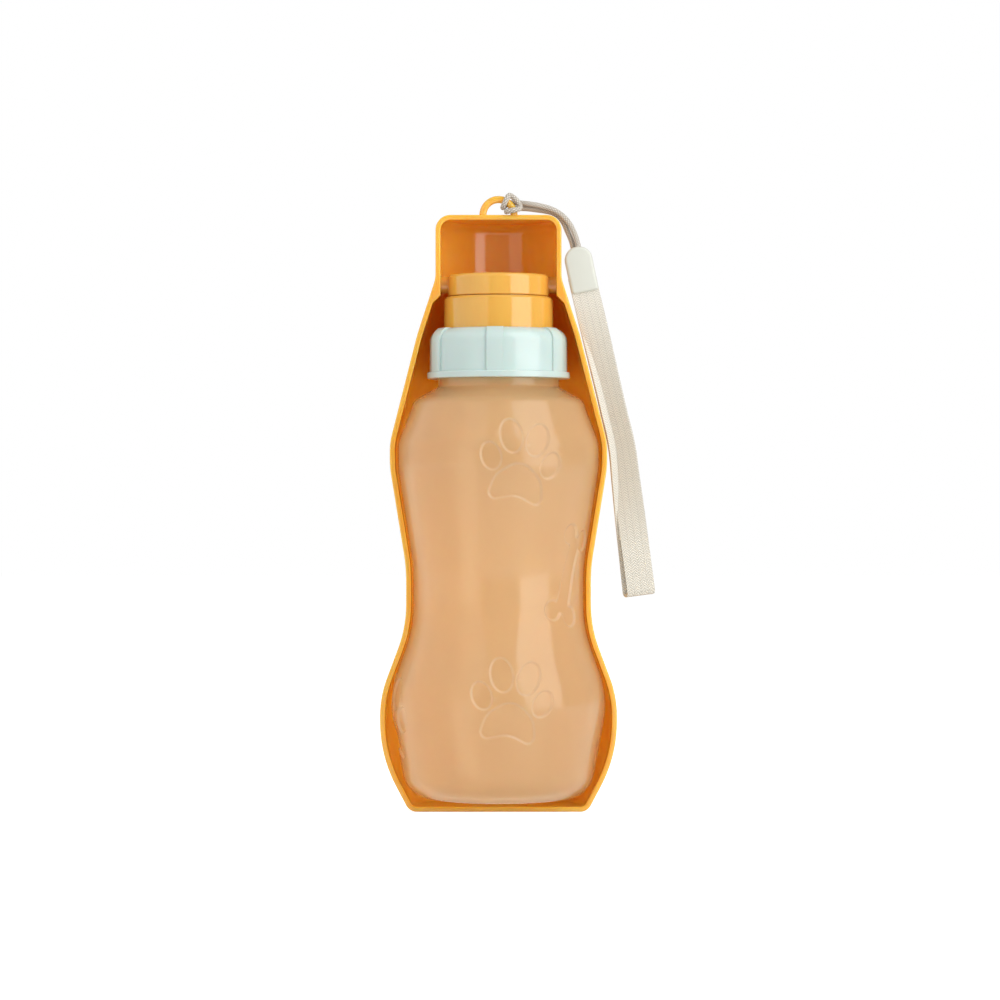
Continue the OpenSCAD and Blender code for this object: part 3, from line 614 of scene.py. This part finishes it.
# Place, heading and turn of the webbing at a distance from its first end
def strapAt(distance):
    down = straightLength + strap["tuckedIn"]
    if distance <= down:
        side, fallen = -1, distance - strap["tuckedIn"]
    elif distance >= down + foldLength:
        side, fallen = 1, strapLength - distance - strap["tuckedIn"]
    else:
        turn = (distance - down) / layer
        place = fold + lowerWay * layer * math.sin(turn) + Vector((0, -layer * math.cos(turn), 0))
        place.x -= strap["backDrift"] * (0.5 - 0.5 * math.cos(turn))
        heading = lowerWay * math.cos(turn) + Vector((0, math.sin(turn), 0))
        return place, heading, 0
    bendAt = max(0, min(1, (fallen - strap["upper"] + strap["bend"] / 2) / strap["bend"]))
    ease = bendAt * bendAt * (3 - 2 * bendAt)
    alongUpper = clipFoot + upperWay * fallen
    alongLower = knee + lowerWay * (fallen - strap["upper"])
    place = alongUpper.lerp(alongLower, ease)
    share = max(0, min(1, fallen / straightLength))
    twist = strap["twist"] * math.sin(math.pi * min(1, share * 1.15)) if share < 0.87 else 0
    place = place + Vector((0, side * layer, 0))
    if side > 0:
        place.x -= strap["backDrift"] * share ** 2
    heading = upperWay.lerp(lowerWay, ease).normalized() * -side
    return place, heading, twist


pickOnly()
countAlong = round(strapLength / strap["step"])
bpy.ops.mesh.primitive_grid_add(x_subdivisions=strap["across"], y_subdivisions=countAlong, size=1)
webbing = bpy.context.object
webbing.name = "webbingLoop"
flat = readPoints(webbing) * mm
weaveMap = webbing.data.uv_layers.new(name="weave")
for loop in webbing.data.loops:
    x, y = flat[loop.vertex_index][:2]
    weaveMap.data[loop.index].uv = ((x + 0.5) * strap["width"], (y + 0.5) * strapLength)
laid = []
for x, y, z in flat:
    place, heading, twist = strapAt((y + 0.5) * strapLength)
    acrossWay = Vector((math.cos(math.radians(strap["lowerTilt"])), 0, math.sin(math.radians(strap["lowerTilt"]))))
    acrossWay = (acrossWay - heading * acrossWay.dot(heading)).normalized()
    acrossWay = Matrix.Rotation(math.radians(twist), 3, heading) @ acrossWay
    laid.append((place + acrossWay * x * strap["width"])[:])
writePoints(webbing, np.array(laid))
shapeWith(webbing, "SOLIDIFY", thickness=strap["thick"] * mm, offset=0, use_even_offset=True)
smoothEdges(webbing, 40)
# Woven polyester in a herringbone: slanted yarns that turn over every 1.25 mm, with grey shade between them
polyesterWebbing, webShader = newMaterial("polyesterWebbing", Roughness=0.75, Sheen_Weight=0.2)
weave = {"column": 1.25, "pitch": 0.95, "slant": 0.9}
weaveUv = addNode(polyesterWebbing, "UVMap", {"uv_map": "weave"})
weavePlace = addNode(polyesterWebbing, "SeparateXYZ", links={0: weaveUv.outputs["UV"]})
zigzag = addNode(polyesterWebbing, "Math", {"operation": "PINGPONG", 1: weave["column"]},
                 {0: weavePlace.outputs["X"]})
slope = addNode(polyesterWebbing, "Math", {"operation": "MULTIPLY_ADD", 1: weave["slant"]},
                {0: zigzag.outputs[0], 2: weavePlace.outputs["Y"]})
yarn = addNode(polyesterWebbing, "Math", {"operation": "PINGPONG", 1: weave["pitch"] / 2}, {0: slope.outputs[0]})
yarnHeight = addNode(polyesterWebbing, "MapRange", {"From Max": weave["pitch"] / 2}, {"Value": yarn.outputs[0]})
columnEdge = addNode(polyesterWebbing, "MapRange", {"From Max": 0.25, "To Min": 0.35}, {"Value": zigzag.outputs[0]})
yarnRaise = addNode(polyesterWebbing, "Math", {"operation": "MULTIPLY"},
                    {0: yarnHeight.outputs[0], 1: columnEdge.outputs[0]})
yarnTint = addNode(polyesterWebbing, "ValToRGB", links={0: yarnRaise.outputs[0]})
yarnTint.color_ramp.elements[0].color = hexColour("c2bcae")
yarnTint.color_ramp.elements[0].position = 0.05
yarnTint.color_ramp.elements[1].color = hexColour("e4dfd2")
yarnTint.color_ramp.elements[1].position = 0.45
yarnBump = addNode(polyesterWebbing, "Bump", {"Strength": 0.5, "Distance": 0.2 * mm},
                   {"Height": yarnRaise.outputs[0]})
polyesterWebbing.node_tree.links.new(yarnTint.outputs["Color"], webShader.inputs["Base Color"])
polyesterWebbing.node_tree.links.new(yarnBump.outputs["Normal"], webShader.inputs["Normal"])
dress(webbing, "trough_body", "webbing", polyesterWebbing, "wrist_strap")
print("strap length", round(strapLength, 1), "mm")

# Cap pieces and seals keep their modelled shape
# Injection-moulded polypropylene: smooth rings that show each softbox as an upright band, and the
# collar in a pale mint; the seals are moulded silicone, milky and dull
capPolypropylene = mouldPlastic("capPolypropylene", "e6ae4c", "e2a744", 0.13, IOR=1.55,
                                Subsurface_Weight=0.2, Subsurface_Scale=0.003)
mintPolypropylene = mouldPlastic("mintPolypropylene", "c6d8d3", "c0d3ce", 0.16, IOR=1.52,
                                 Subsurface_Weight=0.2, Subsurface_Scale=0.003)
mouldedSilicone = mouldPlastic("mouldedSilicone", "dcdcd6", "d4d4ce", 0.5, IOR=1.41,
                               Subsurface_Weight=0.3, Subsurface_Scale=0.002)
for node, material in (("spout_base", capPolypropylene), ("swivel_head", capPolypropylene),
                       ("collar", mintPolypropylene), ("neck_gasket", mouldedSilicone),
                       ("valve_seal", mouldedSilicone), ("head_o_ring", mouldedSilicone)):
    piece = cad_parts[node]
    piece.data.materials.clear()
    piece.data.materials.append(material)

# Studio: white floor and backdrop, a bright softbox on the right and a wide dim one on the left
studioPaper = bpy.data.materials.new("studioPaper")
studioPaper.use_nodes = True
studioPaper.node_tree.nodes.clear()
ray = addNode(studioPaper, "LightPath")
seen = addNode(studioPaper, "Math", {"operation": "MAXIMUM"},
               {0: ray.outputs["Is Camera Ray"], 1: ray.outputs["Is Transmission Ray"]})
seen = addNode(studioPaper, "Math", {"operation": "MAXIMUM"}, {0: seen.outputs[0], 1: ray.outputs["Is Glossy Ray"]})
glow = addNode(studioPaper, "Emission", {"Strength": 1.0})
matt = addNode(studioPaper, "BsdfDiffuse", {"Color": (0.8, 0.8, 0.8, 1)})
amount = addNode(studioPaper, "Math", {"operation": "MULTIPLY", 1: 0.75}, {0: seen.outputs[0]})
studioPaper.node_tree.links.new(amount.outputs[0], glow.inputs["Strength"])
paper = addNode(studioPaper, "AddShader", links={0: matt.outputs[0], 1: glow.outputs[0]})
addNode(studioPaper, "OutputMaterial", links={"Surface": paper.outputs[0]})
pickOnly()
bpy.ops.mesh.primitive_plane_add(size=6, location=(0, 1, 0))
floor = bpy.context.object
floor.name = "studioFloor"
settle(floor)
floor.data.materials.append(studioPaper)

world = bpy.data.worlds.new("studioWorld")
world.use_nodes = True
world.node_tree.nodes.clear()
worldRay = addNode(world, "LightPath")
worldSeen = addNode(world, "Math", {"operation": "MAXIMUM"},
                    {0: worldRay.outputs["Is Camera Ray"], 1: worldRay.outputs["Is Transmission Ray"]})
# gloss sees a dimmer white, so that the softboxes stand out in it
worldGloss = addNode(world, "Math", {"operation": "MULTIPLY", 1: 0.15}, {0: worldRay.outputs["Is Glossy Ray"]})
worldSeen = addNode(world, "Math", {"operation": "MAXIMUM"}, {0: worldSeen.outputs[0], 1: worldGloss.outputs[0]})
worldStrength = addNode(world, "MapRange", {"To Min": 0.35, "To Max": 1.0}, {"Value": worldSeen.outputs[0]})
sky = addNode(world, "Background", {"Color": (1, 1, 1, 1)}, {"Strength": worldStrength.outputs[0]})
addNode(world, "OutputWorld", links={"Surface": sky.outputs[0]})
bpy.context.scene.world = world

softboxes = [
    {"name": "rightSoftbox", "angle": 50, "distance": 1.0, "width": 0.9, "height": 2.0, "z": 0.5, "watts": 17},
    {"name": "leftSoftbox", "angle": -72, "distance": 0.8, "width": 2.0, "height": 1.5, "z": 0.35, "watts": 8},
]
for box in softboxes:
    turn = math.radians(box["angle"])
    place = Vector((math.sin(turn), -math.cos(turn), 0)) * box["distance"] + Vector((0, 0, box["z"]))
    pickOnly()
    bpy.ops.object.light_add(type="AREA", location=place)
    light = bpy.context.object
    light.name = box["name"]
    light.rotation_euler = (Vector((0, 0, 0.11)) - place).to_track_quat("-Z", "Y").to_euler()
    light.data.shape = "RECTANGLE"
    light.data.size = box["width"]
    light.data.size_y = box["height"]
    light.data.energy = box["watts"]

pickOnly()
print("pieces ready")
